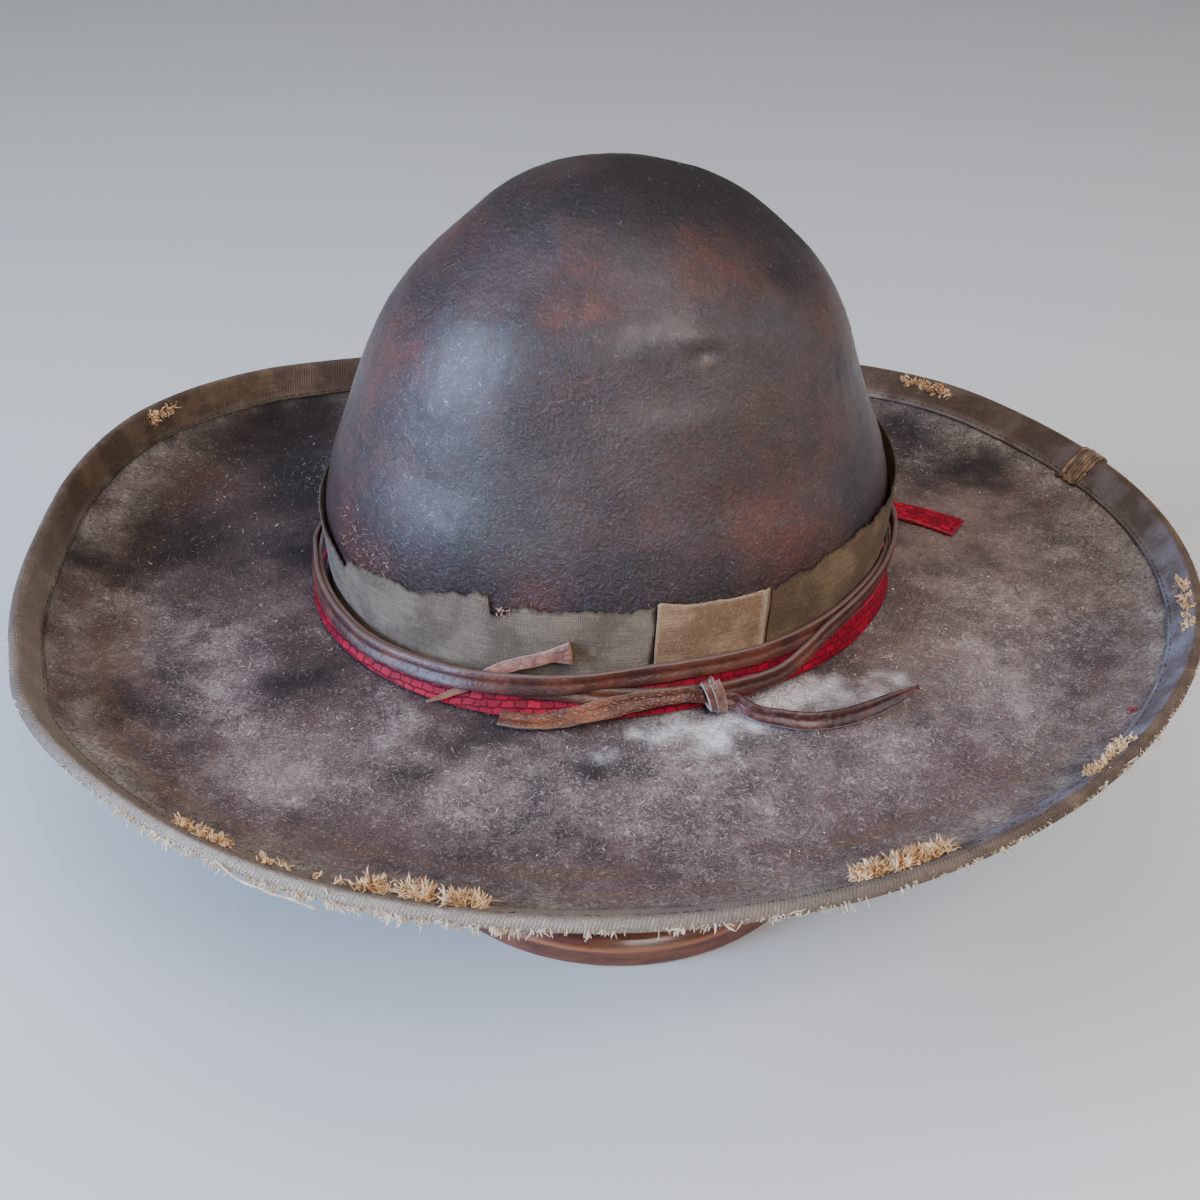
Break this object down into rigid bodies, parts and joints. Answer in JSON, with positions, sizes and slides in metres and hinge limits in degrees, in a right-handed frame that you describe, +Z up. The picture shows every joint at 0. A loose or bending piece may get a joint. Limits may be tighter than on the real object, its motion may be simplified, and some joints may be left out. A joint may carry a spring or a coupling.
{
  "type": "felt hat on stand",
  "caption": "Worn wide-brimmed felt hat with a tall open crown, torn crown ribbon, red leather band and knotted leather lace, resting on a turned wooden hat stand",
  "frame": {"origin": "centre of the stand's flat underside, on the table", "axes": "+Z up, +X along the hat's longer side, -Y towards the side where the lace is knotted"},
  "size_m": [0.4274, 0.3948, 0.2816],
  "materials": {
    "wood": "polished reddish-brown hardwood",
    "felt": "worn, waxed and dusty dark brown felt",
    "binding_tape": "faded ribbed tape",
    "thread": "waxed tan thread",
    "grey_ribbon": "faded ribbed ribbon",
    "tan_ribbon": "faded ribbed ribbon",
    "olive_ribbon": "faded ribbed ribbon",
    "red_leather": "scaled crimson leather, satin",
    "lace_leather": "glossy worn lace",
    "slip_leather": "dry pinkish tan leather"
  },
  "bodies": {
    "root": {"stand_base": "wood", "stand_post": "wood", "stand_dome": "wood", "hat_felt": "felt", "brim_binding": "binding_tape", "thread_wrap": "thread", "ribbon_grey": "grey_ribbon", "ribbon_tan_patch": "tan_ribbon", "ribbon_olive": "olive_ribbon", "red_band": "red_leather", "red_band_tail": "red_leather", "lace_upper_turn": "lace_leather", "lace_second_turn": "lace_leather", "lace_tail_left": "lace_leather", "lace_tail_right": "lace_leather", "leather_slip": "slip_leather", "lace_knot": "lace_leather"}
  },
  "joints": []
}
